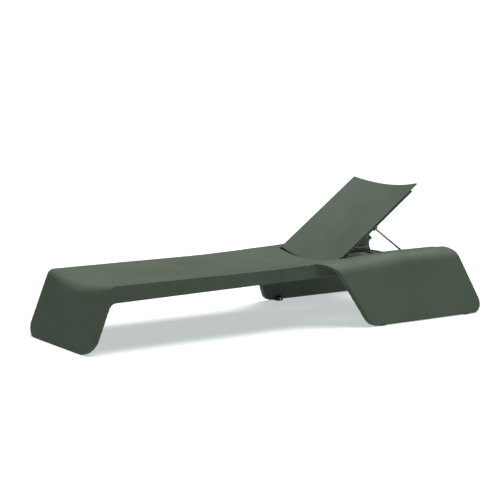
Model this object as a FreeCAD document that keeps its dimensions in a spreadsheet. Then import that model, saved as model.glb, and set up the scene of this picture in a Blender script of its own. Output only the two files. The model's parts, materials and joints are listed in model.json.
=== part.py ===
"""Reclining sun lounger: a hollow moulded polyethylene body (foot leg, dished deck and two splayed
wings at the head end) and a dished backrest on steel rails, held up by a bowed wire stay.

Millimetres, +Z up. X runs along the lounger from the foot (-X) to the head (+X), Y across it.
The origin lies on the floor under the middle of the whole object. The backrest is raised.
"""
import FreeCAD, Part
import math
import os

from FreeCAD import Placement, Rotation, Vector

DIMENSIONS = {
    # overall moulding
    "half_length": 1050, "deck_half": 302, "wall": 6,
    # foot leg
    "leg_slope": 0.41, "leg_thick": 28, "foot_bend": 64, "foot_bend_side": 34, "inner_bend": 35,
    "leg_side_z": 94, "leg_side_half": 311, "leg_top_z": 217, "leg_corner": 95,
    # deck: heights of its side edges and of the skirt under them
    "deck_edge_z": 296, "deck_rise_x": -96, "seat_edge_z": 306.5, "deck_end_x": 313,
    "skirt_x": -902, "skirt_z": 217.3, "skirt_slope": 0.0151, "dish_sag": 30,
    # wings at the head end
    "wing_start_x": 130, "wing_start_z": 299.5, "ridge_x": 600, "ridge_z": 325,
    "wing_bend": 78.4, "wing_bend_y": 298, "wing_foot_half": 452, "wing_splay": 0.2922,
    "wing_thick": 32, "wing_floor_gap": 3.6, "wing_front_x": 360, "wing_front_slope": 0.52,
    "wing_rear_x": 1072.5, "wing_rear_slope": 0.376,
    "beam_in": 258, "beam_out": 292, "beam_end_x": 900, "beam_end_low_x": 878,
    "beam_end_round": 34, "beam_drop": 4, "dish_drop": 7.5, "hinge_drop": 1,
    "round_front_top": 118, "round_front_low": 58, "round_rear_low": 50, "round_rear_top": 60,
    # tray between the wings, under the backrest
    "ledge_x": 366, "tray_x0": 480, "tray_x1": 876, "tray_z": 246, "tray_thick": 12,
    "rim_width": 14, "rim_z": 256, "rim_depth": 24,
    # recline hinge and backrest
    "hinge_x": 334, "hinge_z": 283, "recline": 35.7, "back_half": 247, "back_sag": 30,
    "back_rise": 24, "back_start": 8, "back_nose": 24, "back_end": 579, "panel_thick": 9,
    "rail_in": 236, "rail_out": 246.5, "rail_low": 4, "rail_top": 11.9, "rail_start": 30,
    "rail_end": 533,
    "lug_radius": 13, "bush_radius": 8, "pin_radius": 5, "running": 0.05,
    "bracket_in": 250, "bracket_out": 257.9, "bracket_half": 19, "bracket_low": 250,
    "bracket_high": 301, "bracket_screw_x": 12, "bracket_screw_z": 258, "pin_in": 234.5,
    "washer_in": 247.2, "washer_out": 249.7, "panel_screw_y": 241.2, "panel_screw_long": 13,
    "strap_width": 30, "strap_thick": 5, "strap_low_u": 40, "strap_high_u": 425,
    # stay
    "stay_pivot": 257.4, "stay_radius": 4.5, "stay_half": 229, "stay_sag": 22,
    "eye_radius": 8, "eye_width": 7, "stay_pin": 3, "stay_pin_in": 221,
    "stay_plate_in": 234, "stay_plate_out": 235.9, "stay_plate_long": 28, "stay_plate_high": 18,
    "clip_in": 222, "clip_out": 224.5, "clip_radius": 5.5,
    # racks on the tray
    "rack_in": 197, "rack_out": 213, "rack_top": 272.2, "rack_x0": 520, "rack_x1": 862,
    "notch_radius": 5.5, "notch_z": 275, "rack_chamfer": 6, "rack_screw_in": 12,
    "rack_screw_long": 22,
    # feet under the wings
    "pad_in": 394, "pad_out": 444, "pad_upright": 411, "pad_long": 34, "pad_high": 20,
    "pad_front_x": 412, "pad_rear_x": 940, "pad_screw_z": 11, "pad_screw_long": 30,
    # screws
    "head_radius": 4, "head_high": 2.5, "shank_radius": 2.2, "socket_radius": 2,
    "socket_depth": 1.5, "bracket_screw_long": 12,
}
NOTCH_ANGLES = (0, 22, 35.7, 48, 58, 65.7)
PANEL_SCREWS_U = (60, 190, 320, 500)
CLEAR = 10  # how far a cutting tool runs past what it cuts
SIDES = (("left", 1), ("right", -1))

doc = FreeCAD.newDocument("sun_lounger")
sheet = doc.addObject("Spreadsheet::Sheet", "dimensions")
for row, (alias, value) in enumerate(DIMENSIONS.items(), start=1):
    sheet.set("A%d" % row, alias)
    sheet.set("B%d" % row, str(value))
    sheet.setAlias("B%d" % row, alias)
doc.recompute()

nodes = []


def dim(alias):
    """The value of a driving dimension."""
    return float(sheet.get(alias))


def node(obj):
    """Record an object as one sub-part of the lounger, under its own label."""
    nodes.append(obj)
    return obj


def feature(name, shape, frame=None):
    """A sub-part whose shape comes straight from Part's own functions, placed in its frame."""
    obj = doc.addObject("Part::Feature", name)
    obj.Label = name
    obj.Shape = shape
    if frame:
        obj.Placement = frame
    return obj


def bind(obj, **expressions):
    """Bind an object's properties to the sheet."""
    for prop, text in expressions.items():
        obj.setExpression(prop, text)
    return obj


def polygon_face(points):
    """A flat face from a closed run of corner points."""
    return Part.Face(Part.makePolygon([Vector(*p) for p in points + points[:1]]))


def arc_edge(start, middle, end):
    return Part.Arc(Vector(*start), Vector(*middle), Vector(*end)).toShape()


def line_edge(start, end):
    return Part.LineSegment(Vector(*start), Vector(*end)).toShape()


def near(sign, inner, outer):
    """The lower Y of a span that lies between two distances from the middle, on one side."""
    return inner if sign > 0 else -outer


def round_edges(solid, radius, chosen):
    """Fillet the edges of a solid that the test picks."""
    edges = [e for e in solid.Edges if chosen(e)]
    return solid.makeFillet(radius, edges)


# ---------------------------------------------------------------- moulded body

def skirt_bottom(x):
    return dim("skirt_z") + dim("skirt_slope") * (x - dim("skirt_x"))


def deck_edge(x):
    """Height of the deck's side edge: level, then rising gently to the hinge."""
    rise_x, end_x = dim("deck_rise_x"), dim("hinge_x")
    share = max(0.0, (x - rise_x) / (end_x - rise_x))
    return dim("deck_edge_z") + share * (dim("seat_edge_z") - dim("deck_edge_z"))


def dish_cutter(inset):
    """The space above the dished top of the deck, a shallow round trough along X."""
    sag = dim("dish_sag")
    reach, top = dim("deck_half") + 30, 420
    wires = []
    for x, half in ((-dim("half_length") - 60, dim("deck_half")),
                    (dim("deck_rise_x"), dim("deck_half")),
                    (dim("deck_end_x"), dim("back_half"))):
        radius = (half ** 2 + sag ** 2) / (2 * sag)
        centre = deck_edge(x) - sag + radius
        lift = centre - math.sqrt((radius + inset) ** 2 - reach ** 2)
        wires.append(Part.Wire([
            arc_edge((x, -reach, lift), (x, 0, centre - radius - inset), (x, reach, lift)),
            line_edge((x, reach, lift), (x, reach, top)),
            line_edge((x, reach, top), (x, -reach, top)),
            line_edge((x, -reach, top), (x, -reach, lift)),
        ]))
    return Part.makeLoft(wires, True, True)


def deck_and_leg(inset):
    """Foot leg and deck as one bent slab, drawn in by the inset on every side."""
    slope = dim("leg_slope")
    across = math.hypot(1, slope)
    toe = -dim("half_length") + inset * across
    heel = -dim("half_length") + (dim("leg_thick") - inset) * across
    end = dim("deck_end_x") - inset
    half = dim("deck_half") - inset
    corner_x = heel + slope * (dim("skirt_z") + inset)
    corner_x += slope * dim("skirt_slope") * (corner_x - dim("skirt_x"))
    top = dim("deck_edge_z") - inset
    rise = dim("deck_rise_x")
    end_low = skirt_bottom(end) + inset
    corner_low = skirt_bottom(corner_x) + inset
    outline = [
        (toe + slope * inset, -half, inset),
        (toe + slope * top, -half, top),
        (rise, -half, top),
        (end, -half, deck_edge(end) - inset),
        (end, -half, end_low),
        (corner_x, -half, corner_low),
        (heel + slope * inset, -half, inset),
    ]
    slab = polygon_face(outline).extrude(Vector(0, 2 * half, 0))
    slab = slab.cut(dish_cutter(inset))
    slab = foot_bend(slab, toe + slope * top, half, top, inset)
    slab = round_edges(slab, dim("inner_bend") + inset, lambda e: (
        abs(e.CenterOfMass.x - corner_x) < 2 and abs(e.CenterOfMass.z - corner_low) < 2
        and e.BoundBox.YLength > 1.9 * half))
    return slab.cut(leg_corner_cutter(inset))


def foot_bend(slab, bend_x, half, top, inset):
    """Round the bend over the foot: wide in the middle of the dish, tighter at the two sides."""
    middle, side = dim("foot_bend") - inset, dim("foot_bend_side") - inset
    halves = []
    for _, sign in SIDES:
        length = 2 * dim("half_length") + 2 * CLEAR
        keep = Part.makeBox(length, half + CLEAR, 2 * top,
                            Vector(-length / 2, near(sign, 0, half + CLEAR), -CLEAR))
        part = slab.common(keep)
        bend = [e for e in part.Edges
                if e.BoundBox.YLength > 0.9 * half and abs(e.CenterOfMass.x - bend_x) < 25
                and e.CenterOfMass.z > top - 45][0]
        starts_in_middle = abs(bend.Vertexes[0].Y) < abs(bend.Vertexes[1].Y)
        radii = (middle, side) if starts_in_middle else (side, middle)
        halves.append(part.makeFillet(radii[0], radii[1], [bend]))
    return halves[0].fuse(halves[1]).removeSplitter()


def leg_corner_cutter(inset):
    """What the tapering sides and the two round lower corners of the leg leave out."""
    side_z, radius = dim("leg_side_z"), dim("leg_corner")
    centre_y = dim("leg_side_half") - radius
    inner = radius - inset
    low_z = inset if inset else 0
    floor_y = centre_y + math.sqrt(inner ** 2 - (side_z - low_z) ** 2)
    middle = math.radians(-20)
    x = -dim("half_length") - 40
    depth = 40 + dim("leg_slope") * dim("leg_top_z") + 80
    pieces = []
    for _, sign in SIDES:
        outline = Part.Wire([
            line_edge((x, sign * (dim("deck_half") - inset), dim("leg_top_z")),
                      (x, sign * (centre_y + inner), side_z)),
            arc_edge((x, sign * (centre_y + inner), side_z),
                     (x, sign * (centre_y + inner * math.cos(middle)),
                      side_z + inner * math.sin(middle)),
                     (x, sign * floor_y, low_z)),
            line_edge((x, sign * floor_y, low_z), (x, sign * floor_y, -50)),
            line_edge((x, sign * floor_y, -50), (x, sign * 400, -50)),
            line_edge((x, sign * 400, -50), (x, sign * 400, dim("leg_top_z"))),
            line_edge((x, sign * 400, dim("leg_top_z")),
                      (x, sign * (dim("deck_half") - inset), dim("leg_top_z"))),
        ])
        pieces.append(Part.Face(outline).extrude(Vector(depth, 0, 0)))
    return pieces[0].fuse(pieces[1])


def wing_section(x, ridge_z, drop, side, inset):
    """Cross-section of one side of the head end: beam, shoulder bend and splayed wing."""
    splay, bend = dim("wing_splay"), dim("wing_bend")
    across = math.hypot(1, splay)
    outer = bend - inset
    inner = bend - dim("wing_thick") + inset
    centre_z = ridge_z - bend
    foot_z = dim("wing_floor_gap") + inset
    centre_y = dim("wing_foot_half") - splay * centre_z - across * bend
    foot_y = dim("wing_foot_half") - splay * foot_z
    beam_in, beam_out = dim("beam_in") + inset, dim("beam_out") - inset
    low = skirt_bottom(x) + inset
    shoulder = math.atan(splay)
    half_turn = (math.pi / 2 + shoulder) / 2

    def on_bend(radius, angle):
        return (x, side * (centre_y + radius * math.cos(angle)), centre_z + radius * math.sin(angle))

    points = {
        "beam_low": (x, side * beam_in, low),
        "beam_top": (x, side * beam_in, ridge_z - drop - inset),
        "wing_foot": (x, side * (foot_y - across * inset), foot_z),
        "wing_heel": (x, side * (foot_y - across * (dim("wing_thick") - inset)), foot_z),
        "under": (x, side * beam_out, centre_z + inner),
        "beam_out": (x, side * beam_out, low),
    }
    upright = math.pi / 2
    edges = [
        line_edge(points["beam_low"], points["beam_top"]),
        line_edge(points["beam_top"], on_bend(outer, upright)),
        arc_edge(on_bend(outer, upright), on_bend(outer, half_turn), on_bend(outer, shoulder)),
        line_edge(on_bend(outer, shoulder), points["wing_foot"]),
        line_edge(points["wing_foot"], points["wing_heel"]),
        line_edge(points["wing_heel"], on_bend(inner, shoulder)),
        arc_edge(on_bend(inner, shoulder), on_bend(inner, half_turn), on_bend(inner, upright)),
        line_edge(on_bend(inner, upright), points["under"]),
        line_edge(points["under"], points["beam_out"]),
        line_edge(points["beam_out"], points["beam_low"]),
    ]
    return Part.Wire(edges)


def wing_outline(inset):
    """Side view of the head end as a solid across the whole width, with its four round corners."""
    front, rear = dim("wing_front_slope"), dim("wing_rear_slope")
    front_x = dim("wing_front_x") + inset * math.hypot(1, front)
    rear_x = dim("wing_rear_x") - inset * math.hypot(1, rear)
    start_x = dim("wing_start_x") - 8 + inset
    start_z = dim("wing_start_z") + inset
    foot_z = dim("wing_floor_gap") + inset
    ridge_z = dim("ridge_z") - inset
    above = dim("ridge_z") + 40
    reach = dim("wing_foot_half") + 60
    corners = [
        (start_x, -reach, above),
        (start_x, -reach, start_z),
        (front_x - front * start_z, -reach, start_z),
        (front_x - front * foot_z, -reach, foot_z),
        (rear_x - rear * foot_z, -reach, foot_z),
        (rear_x - rear * ridge_z, -reach, ridge_z),
        (dim("ridge_x"), -reach, ridge_z + 1),
        (dim("ridge_x"), -reach, above),
    ]
    solid = polygon_face(corners).extrude(Vector(0, 2 * reach, 0))
    for index, radius in ((2, dim("round_front_top") + inset), (3, dim("round_front_low") - inset),
                          (4, dim("round_rear_low") - inset), (5, dim("round_rear_top") - inset)):
        x, _, z = corners[index]
        solid = round_edges(solid, radius, lambda e: (
            math.hypot(e.CenterOfMass.x - x, e.CenterOfMass.z - z) < 0.5))
    return solid


def behind_beam(inset):
    """The space behind the inner beam, whose end has a round top and leans forward below."""
    end_x, low_x = dim("beam_end_x") - inset, dim("beam_end_low_x") - inset
    turn, top = dim("beam_end_round"), dim("ridge_z") - inset
    far_x, reach = dim("half_length") + 20, dim("wing_bend_y") + inset
    low, high = dim("skirt_z"), top + 40
    middle = turn * (1 - math.sqrt(0.5))
    outline = Part.Wire([
        line_edge((low_x, -reach, low), (end_x, -reach, top - turn)),
        arc_edge((end_x, -reach, top - turn), (end_x - middle, -reach, top - middle),
                 (end_x - turn, -reach, top)),
        line_edge((end_x - turn, -reach, top), (end_x - turn, -reach, high)),
        line_edge((end_x - turn, -reach, high), (far_x, -reach, high)),
        line_edge((far_x, -reach, high), (far_x, -reach, low)),
        line_edge((far_x, -reach, low), (low_x, -reach, low)),
    ])
    return Part.Face(outline).extrude(Vector(0, 2 * reach, 0))


def wing(side, inset):
    start, ridge = dim("wing_start_x"), dim("ridge_x")
    stations = ((start - 20, dim("wing_start_z"), dim("dish_drop")),
                (dim("hinge_x"), dim("seat_edge_z"), dim("hinge_drop")),
                (ridge, dim("ridge_z"), dim("beam_drop")),
                (dim("half_length") + 10, dim("ridge_z"), dim("beam_drop")))
    wires = [wing_section(x, z, drop, side, inset) for x, z, drop in stations]
    return Part.makeLoft(wires, True, True).common(wing_outline(inset)).cut(behind_beam(inset))


def tray():
    """Floor of the recess between the wings: a ledge under the hinge, a gap, then the tray itself
    with the stiff cross rim at its rear."""
    half, thick = dim("beam_in") + 1, dim("tray_thick")

    def slab(start_x, end_x, top_z, depth):
        return Part.makeBox(end_x - start_x, 2 * half, depth, Vector(start_x, -half, top_z - depth))

    ledge = slab(dim("deck_end_x") - thick, dim("ledge_x"), dim("tray_z"), thick)
    floor = slab(dim("tray_x0"), dim("tray_x1"), dim("tray_z"), thick)
    rim = slab(dim("tray_x1") - dim("rim_width"), dim("tray_x1"), dim("rim_z"), dim("rim_depth"))
    return floor.fuse(rim).fuse(ledge)


def body_shell():
    """The one-piece rotational moulding: outer form less the hollow inside its double wall."""
    outer = deck_and_leg(0)
    hollow = deck_and_leg(dim("wall"))
    for _, sign in SIDES:
        outer = outer.fuse(wing(sign, 0))
        hollow = hollow.fuse(wing(sign, dim("wall")))
    return outer.fuse(tray()).removeSplitter().cut(hollow)


node(feature("body_shell", body_shell()))

# ---------------------------------------------------------------- placement helpers

recline = dim("recline")
hinge = Vector(dim("hinge_x"), 0, dim("hinge_z"))
hinge_line = Placement(hinge, Rotation())
back_frame = Placement(hinge, Rotation(Vector(0, 1, 0), -recline))
stay_foot = dim("stay_pivot")
stay_frame = Placement(back_frame.multVec(Vector(stay_foot, 0, 0)),
                       Rotation(Vector(0, 1, 0), recline))
along_y = Rotation(Vector(1, 0, 0), -90)


def box(name, frame, corner, length, width, height):
    """A box bound to the sheet: corner in its frame, and its three sizes as expressions."""
    obj = doc.addObject("Part::Box", name)
    obj.Label = name
    bind(obj, Length=length, Width=width, Height=height)
    obj.Placement = frame.multiply(Placement(Vector(*corner), Rotation()))
    return obj


def cylinder_y(name, frame, start, radius, height):
    """A round bar along +Y from its start point, radius and length as expressions."""
    obj = doc.addObject("Part::Cylinder", name)
    obj.Label = name
    bind(obj, Radius=radius, Height=height)
    obj.Placement = frame.multiply(Placement(Vector(*start), along_y))
    return obj


def through_y(name, frame, x, sign, inner, outer, radius):
    """A tool for a hole across a piece that lies between two distances from the middle."""
    return cylinder_y(name, frame, (x, near(sign, inner - CLEAR, outer + CLEAR), 0), radius,
                      str(outer - inner + 2 * CLEAR))


def cylinder_z(name, frame, start, radius, height):
    """A round bar along the frame's +Z from its start point."""
    obj = doc.addObject("Part::Cylinder", name)
    obj.Label = name
    bind(obj, Radius=radius, Height=height)
    obj.Placement = frame.multiply(Placement(Vector(*start), Rotation()))
    return obj


def cut(name, base, tool):
    obj = doc.addObject("Part::Cut", name)
    obj.Label = name
    obj.Base = base
    obj.Tool = tool
    return obj


def fuse(name, *parts):
    obj = doc.addObject("Part::MultiFuse", name)
    obj.Label = name
    obj.Shapes = list(parts)
    return obj


def group(name, parts):
    """Identical pieces that share one node."""
    obj = doc.addObject("Part::Compound", name)
    obj.Label = name
    obj.Links = parts
    return obj


world = Placement()


def socket(name, frame, start, turn):
    """The hexagon recess in a screw's head."""
    obj = doc.addObject("Part::Prism", name)
    obj.Label = name
    obj.Polygon = 6
    bind(obj, Circumradius="dimensions.socket_radius", Height="dimensions.socket_depth + 1")
    obj.Placement = frame.multiply(Placement(Vector(*start), turn))
    return obj


def screw_y(name, frame, x, sign, face, z, length):
    """A socket-head screw across the lounger: head inside the face, shank going outward."""
    high = dim("head_high")
    head = cylinder_y(name + "_head", frame, (x, near(sign, face - high, face), z),
                      "dimensions.head_radius", "dimensions.head_high")
    shank = cylinder_y(name + "_shank", frame, (x, near(sign, face, face + length), z),
                       "dimensions.shank_radius", str(length))
    outer = face - high
    mouth = socket(name + "_socket", frame,
                   (x, near(sign, outer - 1, outer + dim("socket_depth")), z), along_y)
    return cut(name, fuse(name + "_blank", head, shank), mouth)


def screw_z(name, frame, x, y, face, length):
    """A socket-head screw pointing up: head under the face, shank above it."""
    high = dim("head_high")
    head = cylinder_z(name + "_head", frame, (x, y, face - high),
                      "dimensions.head_radius", "dimensions.head_high")
    shank = cylinder_z(name + "_shank", frame, (x, y, face), "dimensions.shank_radius", str(length))
    mouth = socket(name + "_socket", frame, (x, y, face - high - 1), Rotation())
    return cut(name, fuse(name + "_blank", head, shank), mouth)


# ---------------------------------------------------------------- fixed hinge parts

def hinge_fixings():
    washers, screws = [], []
    for side, sign in SIDES:
        plate_in, plate_out = dim("bracket_in"), dim("bracket_out")
        plate = box("bracket_plate_" + side, world,
                    (dim("hinge_x") - dim("bracket_half"), near(sign, plate_in, plate_out),
                     dim("bracket_low")),
                    "2 * dimensions.bracket_half",
                    "dimensions.bracket_out - dimensions.bracket_in",
                    "dimensions.bracket_high - dimensions.bracket_low")
        hole = through_y("bracket_hole_" + side, hinge_line, 0, sign, plate_in, plate_out,
                         "dimensions.pin_radius + dimensions.running")
        node(cut("hinge_bracket_" + side, plate, hole))
        node(cylinder_y("hinge_pin_" + side, hinge_line,
                        (0, near(sign, dim("pin_in"), plate_out), 0),
                        "dimensions.pin_radius", "dimensions.bracket_out - dimensions.pin_in"))
        washer_in, washer_out = dim("washer_in"), dim("washer_out")
        ring = cylinder_y("washer_ring_" + side, hinge_line,
                          (0, near(sign, washer_in, washer_out), 0),
                          "dimensions.bush_radius", "dimensions.washer_out - dimensions.washer_in")
        bore = through_y("washer_bore_" + side, hinge_line, 0, sign, washer_in, washer_out,
                         "dimensions.pin_radius + dimensions.running")
        washers.append(cut("hinge_washer_" + side, ring, bore))
        for index, shift in enumerate((-dim("bracket_screw_x"), dim("bracket_screw_x"))):
            screws.append(screw_y("bracket_screw_%s_%d" % (side, index), world,
                                  dim("hinge_x") + shift, sign, plate_in,
                                  dim("bracket_screw_z"),
                                  dim("bracket_screw_long")))
    node(group("hinge_washers", washers))
    node(group("bracket_screws", screws))


hinge_fixings()

# ---------------------------------------------------------------- racks on the tray


def sketch_on(body, name, role, points):
    """A closed sketch of straight lines on one of the body's origin planes."""
    plane = [f for f in body.Origin.OriginFeatures if f.Role == role][0]
    sketch = body.newObject("Sketcher::SketchObject", name)
    sketch.AttachmentSupport = [(plane, "")]
    sketch.MapMode = "FlatFace"
    closed = points + points[:1]
    for start, end in zip(closed, closed[1:]):
        sketch.addGeometry(Part.LineSegment(Vector(*start, 0), Vector(*end, 0)), False)
    return sketch


def rack(side, sign):
    """A notched bar: the stay's cross bow drops into one of its notches."""
    body = doc.addObject("PartDesign::Body", "rack_" + side)
    body.Label = "rack_" + side
    x0, x1 = dim("rack_x0"), dim("rack_x1")
    low, top, chamfer = dim("tray_z"), dim("rack_top"), dim("rack_chamfer")
    sketch = sketch_on(body, "rack_outline_" + side, "XZ_Plane",
                       [(x0, low), (x1, low), (x1, top - chamfer), (x1 - chamfer, top),
                        (x0 + chamfer, top), (x0, top - chamfer)])
    doc.recompute()
    pad = body.newObject("PartDesign::Pad", "rack_bar_" + side)
    pad.Profile = sketch
    pad.setExpression("Length", "dimensions.rack_out - dimensions.rack_in")
    pad.Reversed = sign > 0
    doc.recompute()
    plane = [f for f in body.Origin.OriginFeatures if f.Role == "XZ_Plane"][0]
    notches = body.newObject("Sketcher::SketchObject", "rack_notch_sketch_" + side)
    notches.AttachmentSupport = [(plane, "")]
    notches.MapMode = "FlatFace"
    for angle in NOTCH_ANGLES:
        reach = 2 * dim("stay_pivot") * math.cos(math.radians(angle))
        centre = Vector(dim("hinge_x") + reach, dim("notch_z"), 0)
        notches.addGeometry(Part.Circle(centre, Vector(0, 0, 1), dim("notch_radius")), False)
    doc.recompute()
    pocket = body.newObject("PartDesign::Pocket", "rack_notches_" + side)
    pocket.Profile = notches
    pocket.Type = "ThroughAll"
    pocket.Midplane = True
    body.Tip = pocket
    body.Placement = Placement(Vector(0, sign * dim("rack_in"), 0), Rotation())
    doc.recompute()
    return body


rack_screws = []
for side, sign in SIDES:
    node(rack(side, sign))
    middle_y = sign * (dim("rack_in") + dim("rack_out")) / 2
    in_from_end = dim("rack_screw_in")
    for index, x in enumerate((dim("rack_x0") + in_from_end, dim("rack_x1") - in_from_end)):
        rack_screws.append(screw_z("rack_screw_%s_%d" % (side, index), world, x, middle_y,
                                   dim("tray_z") - dim("tray_thick"), dim("rack_screw_long")))
node(group("rack_screws", rack_screws))

# ---------------------------------------------------------------- feet under the wings

pad_screws = []
for end in ("front", "rear"):
    pad_x = dim("pad_%s_x" % end)
    for side, sign in SIDES:
        label = end + "_" + side
        sole = box("pad_sole_" + label, world,
                   (pad_x, near(sign, dim("pad_in"), dim("pad_out")), 0),
                   "dimensions.pad_long", "dimensions.pad_out - dimensions.pad_in",
                   "dimensions.wing_floor_gap - 0.1")
        upright = box("pad_upright_" + label, world,
                      (pad_x, near(sign, dim("pad_in"), dim("pad_upright")), 0),
                      "dimensions.pad_long", "dimensions.pad_upright - dimensions.pad_in",
                      "dimensions.pad_high")
        node(fuse("foot_pad_" + label, sole, upright))
        pad_screws.append(screw_y("pad_screw_" + label, world, pad_x + dim("pad_long") / 2,
                                  sign, dim("pad_in"), dim("pad_screw_z"),
                                  dim("pad_screw_long")))
node(group("pad_screws", pad_screws))

# ---------------------------------------------------------------- backrest, in its own tilted frame


def dished_band(u0, u1, top_offset, thick, half):
    """A strip of the backrest's dish: between two concentric arcs across, straight along u."""
    radius = (dim("back_half") ** 2 + dim("back_sag") ** 2) / (2 * dim("back_sag"))
    centre = dim("back_rise") - dim("back_sag") + radius

    def height(r, y):
        return centre - math.sqrt(r ** 2 - y ** 2)

    top, low = radius + top_offset, radius + top_offset + thick
    wire = Part.Wire([
        arc_edge((u0, -half, height(top, half)), (u0, 0, height(top, 0)),
                 (u0, half, height(top, half))),
        line_edge((u0, half, height(top, half)), (u0, half, height(low, half))),
        arc_edge((u0, half, height(low, half)), (u0, 0, height(low, 0)),
                 (u0, -half, height(low, half))),
        line_edge((u0, -half, height(low, half)), (u0, -half, height(top, half))),
    ])
    return Part.Face(wire).extrude(Vector(u1 - u0, 0, 0))


def backrest_panel():
    """The dished panel. Its front edge bows forward in the middle, to follow the deck's dish."""
    half, nose = dim("back_half"), dim("back_nose")
    tip = dim("back_start") - nose
    deep, ahead = -60, 30
    panel = dished_band(tip, dim("back_end"), 0, dim("panel_thick"), half)
    outline = Part.Wire([
        arc_edge((dim("back_start"), -half, deep), (tip, 0, deep), (dim("back_start"), half, deep)),
        line_edge((dim("back_start"), half, deep), (dim("back_start"), half + 5, deep)),
        line_edge((dim("back_start"), half + 5, deep), (tip - ahead, half + 5, deep)),
        line_edge((tip - ahead, half + 5, deep), (tip - ahead, -half - 5, deep)),
        line_edge((tip - ahead, -half - 5, deep), (dim("back_start"), -half - 5, deep)),
        line_edge((dim("back_start"), -half - 5, deep), (dim("back_start"), -half, deep)),
    ])
    return panel.cut(Part.Face(outline).extrude(Vector(0, 0, 120)))


def backrest():
    node(feature("backrest_panel", backrest_panel(), back_frame))
    for name, u in (("lower", dim("strap_low_u")), ("upper", dim("strap_high_u"))):
        node(feature("backrest_strap_" + name,
                     dished_band(u, u + dim("strap_width"), dim("panel_thick"),
                                 dim("strap_thick"), dim("rail_in") - 0.1), back_frame))
    panel_screws = []
    for side, sign in SIDES:
        rail_y = near(sign, dim("rail_in"), dim("rail_out"))
        node(box("backrest_rail_" + side, back_frame,
                 (dim("rail_start"), rail_y, dim("rail_low")),
                 "dimensions.rail_end - dimensions.rail_start",
                 "dimensions.rail_out - dimensions.rail_in",
                 "dimensions.rail_top - dimensions.rail_low"))
        lug_eye = cylinder_y("lug_eye_" + side, back_frame, (0, rail_y, 0),
                             "dimensions.lug_radius", "dimensions.rail_out - dimensions.rail_in")
        lug_arm = box("lug_arm_" + side, back_frame, (0, rail_y, 0), "dimensions.rail_start - 0.1",
                      "dimensions.rail_out - dimensions.rail_in", "dimensions.rail_top")
        lug_bore = through_y("lug_bore_" + side, back_frame, 0, sign, dim("rail_in"),
                             dim("rail_out"), "dimensions.bush_radius + 0.02")
        node(cut("hinge_lug_" + side, fuse("lug_blank_" + side, lug_eye, lug_arm), lug_bore))
        bush = cylinder_y("bush_ring_" + side, back_frame, (0, rail_y, 0),
                          "dimensions.bush_radius", "dimensions.rail_out - dimensions.rail_in")
        bush_bore = through_y("bush_bore_" + side, back_frame, 0, sign, dim("rail_in"),
                              dim("rail_out"), "dimensions.pin_radius + dimensions.running")
        node(cut("hinge_bush_" + side, bush, bush_bore))
        for index, u in enumerate(PANEL_SCREWS_U):
            panel_screws.append(screw_z("panel_screw_%s_%d" % (side, index), back_frame, u,
                                        sign * dim("panel_screw_y"), dim("rail_low"),
                                        dim("panel_screw_long")))
    node(group("panel_screws", panel_screws))


def stay_mounts():
    """Brackets on the rails with the pins that the stay swings on, and their clips."""
    clips = []
    pivot = dim("stay_pivot")
    for side, sign in SIDES:
        plate_in, plate_out = dim("stay_plate_in"), dim("stay_plate_out")
        plate = box("stay_plate_" + side, back_frame,
                    (pivot - dim("stay_plate_long") / 2, near(sign, plate_in, plate_out),
                     -dim("stay_plate_high") / 2),
                    "dimensions.stay_plate_long",
                    "dimensions.stay_plate_out - dimensions.stay_plate_in",
                    "dimensions.stay_plate_high")
        hole = through_y("stay_hole_" + side, back_frame, pivot, sign, plate_in, plate_out,
                         "dimensions.stay_pin + dimensions.running")
        node(cut("stay_bracket_" + side, plate, hole))
        node(cylinder_y("stay_pin_" + side, back_frame,
                        (pivot, near(sign, dim("stay_pin_in"), plate_out), 0),
                        "dimensions.stay_pin", "dimensions.stay_plate_out - dimensions.stay_pin_in"))
        clip_in, clip_out = dim("clip_in"), dim("clip_out")
        ring = cylinder_y("clip_ring_" + side, back_frame, (pivot, near(sign, clip_in, clip_out), 0),
                          "dimensions.clip_radius", "dimensions.clip_out - dimensions.clip_in")
        bore = through_y("clip_bore_" + side, back_frame, pivot, sign, clip_in, clip_out,
                         "dimensions.stay_pin + dimensions.running")
        clips.append(cut("stay_clip_" + side, ring, bore))
    node(group("stay_clips", clips))


backrest()
stay_mounts()

# ---------------------------------------------------------------- stay


def stay():
    """A bent wire: two arms with eyes, joined by a cross bow that sags clear of the backrest."""
    reach, half, radius = dim("stay_pivot"), dim("stay_half"), dim("stay_radius")
    sag = dim("stay_sag")
    bow_radius = (half ** 2 + sag ** 2) / (2 * sag)
    spread = math.degrees(math.asin(half / bow_radius))
    centre = Vector(reach, 0, bow_radius - sag)
    start = Vector(reach, -half, 0)
    disc = Part.Face(Part.Wire(Part.makeCircle(radius, start,
                                               (start - centre).cross(Vector(1, 0, 0)))))
    wire = disc.revolve(centre, Vector(1, 0, 0), 2 * spread)
    for _, sign in SIDES:
        arm = Part.makeCylinder(radius, reach - 6, Vector(6, sign * half, 0), Vector(1, 0, 0))
        knee = Part.makeSphere(radius, Vector(reach, sign * half, 0))
        eye = Part.makeCylinder(dim("eye_radius"), dim("eye_width"),
                                Vector(0, sign * half - dim("eye_width") / 2, 0), Vector(0, 1, 0))
        bore = Part.makeCylinder(dim("stay_pin") + dim("running"), 20,
                                 Vector(0, sign * half - 10, 0), Vector(0, 1, 0))
        wire = wire.fuse(arm).fuse(knee).fuse(eye).cut(bore)
    return wire


node(feature("prop_stay", stay(), stay_frame))

# ---------------------------------------------------------------- check and write

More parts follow.
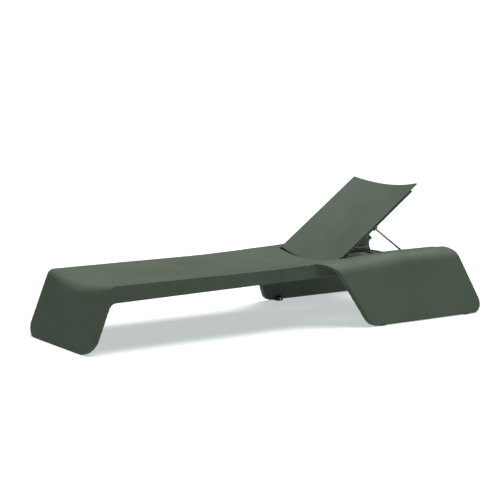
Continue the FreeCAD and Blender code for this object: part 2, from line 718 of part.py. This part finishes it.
doc.recompute()
for obj in doc.Objects:
    if "Invalid" in obj.State or "Error" in obj.State:
        raise RuntimeError("%s did not recompute: %s" % (obj.Label, obj.State))
os.makedirs("parts", exist_ok=True)
for obj in nodes:
    shape = obj.Shape
    if shape.isNull() or not shape.isValid() or not shape.Solids:
        raise RuntimeError("%s has no valid solid" % obj.Label)
    shape.exportStep("parts/%s.step" % obj.Label)
    print("%-26s %d solid(s) %12.0f mm3" % (obj.Label, len(shape.Solids), shape.Volume))
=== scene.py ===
"""Looks of the reclining sun lounger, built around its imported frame. Metres, +Z up, foot at -X."""

import json
import math

import bmesh
import bpy
from mathutils import Euler, Matrix, Vector


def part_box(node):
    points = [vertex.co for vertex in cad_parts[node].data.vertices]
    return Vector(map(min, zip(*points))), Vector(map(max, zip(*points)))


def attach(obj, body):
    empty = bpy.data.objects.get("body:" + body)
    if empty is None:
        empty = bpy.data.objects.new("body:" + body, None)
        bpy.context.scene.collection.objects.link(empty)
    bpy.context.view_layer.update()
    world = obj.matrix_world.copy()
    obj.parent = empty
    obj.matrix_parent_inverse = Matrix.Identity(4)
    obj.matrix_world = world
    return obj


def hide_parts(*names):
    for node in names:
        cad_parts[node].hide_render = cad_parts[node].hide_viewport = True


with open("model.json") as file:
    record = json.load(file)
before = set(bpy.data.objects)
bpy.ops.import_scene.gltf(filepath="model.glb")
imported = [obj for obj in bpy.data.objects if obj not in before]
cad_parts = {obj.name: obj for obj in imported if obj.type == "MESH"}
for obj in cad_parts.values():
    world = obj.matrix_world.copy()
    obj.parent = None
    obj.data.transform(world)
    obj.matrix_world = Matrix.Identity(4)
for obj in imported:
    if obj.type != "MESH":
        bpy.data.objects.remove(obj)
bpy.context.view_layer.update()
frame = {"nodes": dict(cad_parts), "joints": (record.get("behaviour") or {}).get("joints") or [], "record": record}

MM = 0.001
scene = bpy.context.scene
scene.view_settings.view_transform = "Standard"

# Linear colours of the moulding, of its rubbed edges, of the hardware and of the room. The backrest's green is a
# lighter copy of the body's green: painted light that makes the tilted panel look as bright as the deck.
BODY_GREEN = (0.0435, 0.06, 0.041)
# Painted light: the body's green made lighter for the tilted backrest, which is the same plastic.
BACK_GREEN_PAINTED_LIGHT = (0.059, 0.077, 0.057)
WORN_GREEN = (0.062, 0.08, 0.06)
RACK_GREEN = (0.043, 0.056, 0.041)
PAINT_GREEN = (0.032, 0.043, 0.031)
CHIPPED = (0.3, 0.3, 0.28)
RUBBER_BLACK = (0.022, 0.024, 0.021)
BUSH_WHITE = (0.6, 0.6, 0.56)
BRIGHT_STEEL = (0.56, 0.56, 0.55)
DULL_STEEL = (0.34, 0.32, 0.315)
WHITE = (0.97, 0.99, 1.0)
PAPER = (0.35, 0.355, 0.36)
GLOW_TINT = (0.93, 0.99, 0.99)

# ---------------------------------------------------------------- node helpers


class Shader:
    """A small builder for one node-based material on the Principled shader."""

    def __init__(self, name, colour, roughness, metallic=0.0):
        self.material = bpy.data.materials.new(name)
        self.material.use_nodes = True
        self.material.diffuse_color = (*colour, 1)
        self.tree = self.material.node_tree
        self.bsdf = self.tree.nodes["Principled BSDF"]
        self.bsdf.inputs["Roughness"].default_value = roughness
        self.bsdf.inputs["Metallic"].default_value = metallic
        self.bsdf.inputs["Base Color"].default_value = (*colour, 1)
        self.coordinates = self.add("ShaderNodeTexCoord").outputs["Object"]

    def add(self, kind, **settings):
        made = self.tree.nodes.new(kind)
        for key, value in settings.items():
            setattr(made, key, value)
        return made

    def link(self, output, target):
        self.tree.links.new(output, target)

    def stretched(self, scale):
        """Object coordinates scaled along each axis, for grain that runs one way."""
        mapping = self.add("ShaderNodeMapping")
        mapping.inputs["Scale"].default_value = scale
        self.link(self.coordinates, mapping.inputs["Vector"])
        return mapping.outputs["Vector"]

    def noise(self, scale, detail=4.0, roughness=0.55, vector=None):
        """Noise from 0 to 1; its scale is roughly the number of waves in a metre."""
        made = self.add("ShaderNodeTexNoise")
        made.inputs["Scale"].default_value = scale
        made.inputs["Detail"].default_value = detail
        made.inputs["Roughness"].default_value = roughness
        self.link(vector or self.coordinates, made.inputs["Vector"])
        return made.outputs["Fac"]

    def spread(self, value, low, high, to_low, to_high):
        """A value between low and high, spread over another range."""
        made = self.add("ShaderNodeMapRange")
        for socket, number in zip(("From Min", "From Max", "To Min", "To Max"),
                                  (low, high, to_low, to_high)):
            made.inputs[socket].default_value = number
        self.link(value, made.inputs["Value"])
        return made.outputs["Result"]

    def mix(self, factor, first, second):
        """A colour between two; each is a colour or another node's output."""
        made = self.add("ShaderNodeMix", data_type="RGBA")
        self.link(factor, made.inputs["Factor"])
        for socket, value in ((made.inputs[6], first), (made.inputs[7], second)):
            if isinstance(value, bpy.types.NodeSocket):
                self.link(value, socket)
            else:
                socket.default_value = (*value, 1)
        return made.outputs[2]

    def worn_edges(self, start, end):
        """Rises on sharp outer edges, where hands and weather polish the surface."""
        pointy = self.add("ShaderNodeNewGeometry").outputs["Pointiness"]
        return self.spread(pointy, start, end, 0.0, 1.0)

    def bump(self, height, distance, strength, under=None):
        made = self.add("ShaderNodeBump")
        made.inputs["Distance"].default_value = distance
        made.inputs["Strength"].default_value = strength
        self.link(height, made.inputs["Height"])
        if under:
            self.link(under, made.inputs["Normal"])
        return made.outputs["Normal"]

    def shades(self, colour, darker, lighter, scale):
        """A colour that drifts between a darker and a lighter share of itself."""
        drift = self.spread(self.noise(scale, detail=3), 0.35, 0.65, 0, 1)
        return self.mix(drift, tuple(c * darker for c in colour), tuple(c * lighter for c in colour))

    def colour_from(self, output):
        self.link(output, self.bsdf.inputs["Base Color"])

    def rough_from(self, value, low, high):
        """Roughness between low and high, led by a noise."""
        self.link(self.spread(value, 0.3, 0.7, low, high), self.bsdf.inputs["Roughness"])

    def normal_from(self, output):
        self.link(output, self.bsdf.inputs["Normal"])


def moulded_plastic(name, colour, worn):
    """Matte rotational moulding: slow colour drift, fine grain, faint dust and rubbed edges."""
    shader = Shader(name, colour, 0.62)
    base = shader.shades(colour, 0.9, 1.1, scale=3.2)
    grain = shader.noise(520, detail=3, roughness=0.6)
    speckled = shader.mix(shader.spread(grain, 0.3, 0.7, 0, 0.35), base,
                          tuple(c * 0.82 for c in colour))
    shader.colour_from(shader.mix(shader.worn_edges(start=0.53, end=0.62), speckled, worn))
    shader.rough_from(shader.noise(14, detail=5), 0.58, 0.74)
    wavy = shader.bump(shader.noise(9, detail=2), distance=1.2 * MM, strength=0.12)
    shader.normal_from(shader.bump(grain, 0.3 * MM, 0.22, under=wavy))
    shader.bsdf.inputs["Specular IOR Level"].default_value = 0.22
    return shader.material


def powder_coat(name, colour):
    """Painted steel: fine orange peel, chipped a little at its edges."""
    shader = Shader(name, colour, 0.5)
    paint = shader.shades(colour, 0.88, 1.12, scale=30)
    shader.colour_from(shader.mix(shader.worn_edges(start=0.6, end=0.72), paint, CHIPPED))
    shader.rough_from(shader.noise(60), 0.42, 0.58)
    shader.normal_from(shader.bump(shader.noise(700, detail=2), 0.2 * MM, 0.25))
    return shader.material


def bare_steel(name, colour, stretch):
    """Stainless steel drawn or turned one way, with fine lines along the grain."""
    shader = Shader(name, colour, 0.34, 1.0)
    lines = shader.noise(260, roughness=0.6, vector=shader.stretched(stretch))
    stain = shader.spread(shader.noise(18), 0.4, 0.7, 0, 1)
    shader.colour_from(shader.mix(stain, colour, tuple(c * 0.72 for c in colour)))
    shader.rough_from(lines, 0.26, 0.46)
    shader.normal_from(shader.bump(lines, 0.1 * MM, 0.2))
    return shader.material


def nylon(name, colour):
    """Smooth moulded nylon with a faint cloudiness."""
    shader = Shader(name, colour, 0.42)
    shader.colour_from(shader.shades(colour, 0.9, 1.08, scale=40))
    shader.rough_from(shader.noise(90, detail=3), 0.36, 0.5)
    shader.normal_from(shader.bump(shader.noise(420, detail=2), 0.1 * MM, 0.2))
    return shader.material


def pad_rubber(name, colour):
    """Black rubber, scuffed where it meets the ground."""
    shader = Shader(name, colour, 0.8)
    scuff = shader.spread(shader.noise(120, detail=5, roughness=0.7), 0.5, 0.75, 0, 1)
    shader.colour_from(shader.mix(scuff, colour, tuple(c * 2.6 for c in colour)))
    shader.rough_from(shader.noise(60), 0.7, 0.9)
    shader.normal_from(shader.bump(shader.noise(600, detail=3), 0.3 * MM, 0.4))
    return shader.material


# Noise squeezed on some axes: its lines then run along the others.
ALONG_XZ = (1, 8, 1)
ALONG_Y = (8, 1, 8)
MATERIALS = {
    "body_plastic": moulded_plastic("body_plastic", BODY_GREEN, WORN_GREEN),
    # The backrest is moulded from the body's plastic; its lighter colour here is painted light, not a different
    # dye.
    "back_plastic": moulded_plastic("back_plastic", BACK_GREEN_PAINTED_LIGHT, WORN_GREEN),
    "pad_rubber": pad_rubber("pad_rubber", RUBBER_BLACK),
    "rack_nylon": nylon("rack_nylon", RACK_GREEN),
    "bush_nylon": nylon("bush_nylon", BUSH_WHITE),
    "steel_bright": bare_steel("steel_bright", BRIGHT_STEEL, ALONG_XZ),
    "stay_steel": bare_steel("stay_steel", DULL_STEEL, ALONG_Y),
    "steel_painted": powder_coat("steel_painted", PAINT_GREEN),
}

# ---------------------------------------------------------------- mesh helpers

WELD = 0.001 * MM


def new_object(name, mesh, material):
    """An object of its own in the scene with one material and smooth faces."""
    obj = bpy.data.objects.new(name, mesh)
    scene.collection.objects.link(obj)
    mesh.materials.clear()
    mesh.materials.append(material)
    for polygon in mesh.polygons:
        polygon.use_smooth = True
    return obj


def applied(obj):
    """Bake an object's modifiers into its mesh."""
    graph = bpy.context.evaluated_depsgraph_get()
    mesh = bpy.data.meshes.new_from_object(obj.evaluated_get(graph))
    materials = list(obj.data.materials)
    obj.modifiers.clear()
    obj.data = mesh
    mesh.materials.clear()
    for material in materials:
        mesh.materials.append(material)


def welded_copy(node):
    """The mesh of a CAD node with its split corners joined again, as a new bmesh."""
    mesh = bmesh.new()
    mesh.from_mesh(frame["nodes"][node].data)
    bmesh.ops.transform(mesh, matrix=frame["nodes"][node].matrix_world, verts=mesh.verts)
    bmesh.ops.remove_doubles(mesh, verts=mesh.verts, dist=WELD)
    return mesh


def islands(mesh):
    """The connected pieces of a bmesh, each a list of its vertices."""
    left, found = set(mesh.verts), []
    while left:
        front = [left.pop()]
        island = list(front)
        while front:
            vert = front.pop()
            for edge in vert.link_edges:
                other = edge.other_vert(vert)
                if other in left:
                    left.remove(other)
                    front.append(other)
                    island.append(other)
        found.append(island)
    return found


def diagonal_of(verts):
    """Length of the diagonal of some vertices' box."""
    corners = [[f(v.co[i] for v in verts) for i in range(3)] for f in (min, max)]
    return (Vector(corners[1]) - Vector(corners[0])).length


# ---------------------------------------------------------------- moulded body

GRID_TURN = Euler((0.4, 0.5, 0.6)).to_matrix().to_4x4()


def body_skin(voxel=3.6 * MM, rounds=7, faces=180000):
    """The outer skin of the moulding, with every hard edge softened as the mould leaves it.

    The voxel grid is turned out of line with the body, so that no long edge runs along it.
    """
    rough = welded_copy("body_shell")
    parts = sorted(islands(rough), key=diagonal_of)
    inside = [v for part in parts[:-1] for v in part]
    bmesh.ops.delete(rough, geom=inside, context="VERTS")
    bmesh.ops.transform(rough, matrix=GRID_TURN, verts=rough.verts)
    mesh = bpy.data.meshes.new("body_skin")
    rough.to_mesh(mesh)
    rough.free()
    obj = new_object("body_skin", mesh, MATERIALS["body_plastic"])
    remesh = obj.modifiers.new("voxels", "REMESH")
    remesh.mode = "VOXEL"
    remesh.voxel_size = voxel
    remesh.use_smooth_shade = True
    soften = obj.modifiers.new("soften", "SMOOTH")
    soften.factor = 0.5
    soften.iterations = rounds
    applied(obj)
    thin = obj.modifiers.new("thin", "DECIMATE")
    thin.ratio = min(1.0, faces / (2 * len(obj.data.polygons)))
    applied(obj)
    obj.data.transform(GRID_TURN.inverted())
    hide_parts("body_shell")
    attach(obj, "base")


body_skin()

# ---------------------------------------------------------------- backrest panel

JOINTS = {joint["name"]: joint for joint in frame["joints"]}
RECLINE = -math.radians(JOINTS["backrest_recline"]["range_deg"][0])
# Both pins lie on the hinge's axis, so the middle of one gives the axis its X and Z.
HINGE = sum((Vector(corner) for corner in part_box("hinge_pin_left")), Vector()) / 2
BACK_HALF = 247 * MM
BACK_SAG = 30 * MM
BACK_RISE = 24 * MM
BACK_START = 8 * MM
BACK_NOSE = 24 * MM
BACK_END = 579 * MM
BACK_THICK = 9 * MM
BACK_EDGE = 3.4 * MM


def on_backrest(u, y, w):
    """A point given along, across and above the raised backrest, in the lounger's frame."""
    turn = (math.cos(RECLINE), math.sin(RECLINE))
    return (HINGE.x + u * turn[0] - w * turn[1], y, HINGE.z + u * turn[1] + w * turn[0])


def backrest_panel(along=60, across=72):
    """The dished panel as one even sheet with thickness and soft rolled edges."""
    top_radius = (BACK_HALF ** 2 + BACK_SAG ** 2) / (2 * BACK_SAG)
    middle_radius = top_radius + BACK_THICK / 2
    centre = BACK_RISE - BACK_SAG + top_radius
    points = []
    for row in range(along + 1):
        for column in range(across + 1):
            share = 2 * column / across - 1
            y = share * BACK_HALF
            front = BACK_START - BACK_NOSE * (1 - share ** 2)
            u = front + (BACK_END - front) * row / along
            points.append(on_backrest(u, y, centre - math.sqrt(middle_radius ** 2 - y ** 2)))
    width = across + 1
    faces = [(r * width + c, (r + 1) * width + c, (r + 1) * width + c + 1, r * width + c + 1)
             for r in range(along) for c in range(across)]
    mesh = bpy.data.meshes.new("backrest_skin")
    mesh.from_pydata(points, [], faces)
    obj = new_object("backrest_skin", mesh, MATERIALS["back_plastic"])
    thicken = obj.modifiers.new("thicken", "SOLIDIFY")
    thicken.thickness = BACK_THICK
    thicken.offset = 0
    soften = obj.modifiers.new("soften", "BEVEL")
    soften.width = BACK_EDGE
    soften.segments = 4
    soften.angle_limit = math.radians(60)
    applied(obj)
    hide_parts("backrest_panel")
    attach(obj, "backrest")


backrest_panel()

# ---------------------------------------------------------------- hardware with eased edges

# Width of each piece's broken edges, in millimetres.
EASED = {
    "backrest_rail_left": 1.6, "backrest_rail_right": 1.6,
    "backrest_strap_lower": 1.4, "backrest_strap_upper": 1.4,
    "hinge_lug_left": 1.2, "hinge_lug_right": 1.2,
    "hinge_bracket_left": 1.6, "hinge_bracket_right": 1.6,
    "stay_bracket_left": 0.5, "stay_bracket_right": 0.5,
    "rack_left": 1.2, "rack_right": 1.2,
    "foot_pad_front_left": 1.8, "foot_pad_front_right": 1.8,
    "foot_pad_rear_left": 1.8, "foot_pad_rear_right": 1.8,
}
SLOTS = {entry["node"]: entry["material_slot"] for entry in frame["record"]["subparts"]}
BODIES = {name: body for body, names in frame["record"]["behaviour"]["bodies"].items()
          for name in names}


def eased(node, radius):
    """A copy of a CAD node whose sharp edges are broken, as pressed and moulded parts have them."""
    rough = welded_copy(node)
    bmesh.ops.dissolve_limit(rough, angle_limit=math.radians(1), verts=rough.verts,
                             edges=rough.edges)
    mesh = bpy.data.meshes.new(node + "_eased")
    rough.to_mesh(mesh)
    rough.free()
    obj = new_object(node + "_eased", mesh, MATERIALS[SLOTS[node]])
    bevel = obj.modifiers.new("bevel", "BEVEL")
    bevel.width = radius * MM
    bevel.segments = 3
    bevel.angle_limit = math.radians(40)
    even = obj.modifiers.new("even", "WEIGHTED_NORMAL")
    even.keep_sharp = True
    applied(obj)
    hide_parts(node)
    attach(obj, BODIES[node])


for node, radius in EASED.items():
    eased(node, radius)

# ---------------------------------------------------------------- other CAD nodes

for name, obj in frame["nodes"].items():
    for slot in obj.material_slots:
        slot.material = MATERIALS[SLOTS[name]]

# ---------------------------------------------------------------- floor, light and camera

FLOOR_HALF = 100.0
PAPER_GLOW = 0.55
FILL = 0.04
BACKDROP = 1.05
SUN_SPREAD = math.radians(48)
# The strength of each sun, and the way that its light goes.
SUNS = {"overhead": (2.9, (0, 0, -1)), "from_behind": (4.2, (-0.35, 0.1, -1))}


def floor():
    """A pale lit studio floor that runs far past the picture and keeps the shadow light."""
    corners = [(x * FLOOR_HALF, y * FLOOR_HALF, 0) for x, y in ((-1, -1), (1, -1), (1, 1), (-1, 1))]
    mesh = bpy.data.meshes.new("floor")
    mesh.from_pydata(corners, [], [(0, 1, 2, 3)])
    shader = Shader("floor_paper", PAPER, 0.9)
    soft = shader.spread(shader.noise(0.6, detail=2), 0.3, 0.7, 0, 1)
    shader.colour_from(shader.mix(soft, tuple(c * 0.985 for c in PAPER),
                                  tuple(c * 1.015 for c in PAPER)))
    shader.bsdf.inputs["Emission Color"].default_value = (*GLOW_TINT, 1)
    shader.bsdf.inputs["Emission Strength"].default_value = PAPER_GLOW
    plane = new_object("floor", mesh, shader.material)


def studio():
    """White room whose light comes softly from overhead and from behind the head end."""
    world = bpy.data.worlds.new("studio")
    world.use_nodes = True
    tree = world.node_tree
    background = tree.nodes["Background"]
    background.inputs["Color"].default_value = (*WHITE, 1)
    rays = tree.nodes.new("ShaderNodeLightPath")
    strength = tree.nodes.new("ShaderNodeMapRange")
    strength.inputs["To Min"].default_value = FILL
    strength.inputs["To Max"].default_value = BACKDROP
    tree.links.new(rays.outputs["Is Camera Ray"], strength.inputs["Value"])
    tree.links.new(strength.outputs["Result"], background.inputs["Strength"])
    scene.world = world
    for name, (energy, aim) in SUNS.items():
        light = bpy.data.lights.new(name, "SUN")
        light.angle = SUN_SPREAD
        light.energy = energy
        lamp = bpy.data.objects.new(name, light)
        lamp.rotation_euler = Vector(aim).to_track_quat("-Z", "Y").to_euler()
        scene.collection.objects.link(lamp)


SENSOR = 36
LENS = 102.6
REACH = 100
CAMERA_AT = (-3.7553, -5.5466, 1.2573)
YAW = math.radians(56.073)
PITCH = math.radians(7.777)
ROLL = -0.002


def camera():
    """The camera stands low off the foot end, on the -Y side, with a long lens."""
    data = bpy.data.cameras.new("camera")
    data.sensor_width = SENSOR
    data.lens = LENS
    data.clip_end = REACH
    cam = bpy.data.objects.new("camera", data)
    forward = Vector((math.cos(YAW) * math.cos(PITCH), math.sin(YAW) * math.cos(PITCH),
                      -math.sin(PITCH)))
    turn = forward.to_track_quat("-Z", "Y").to_matrix() @ Matrix.Rotation(ROLL, 3, "Z")
    cam.matrix_world = Matrix.Translation(CAMERA_AT) @ turn.to_4x4()
    scene.collection.objects.link(cam)
    scene.camera = cam


floor()
studio()
camera()
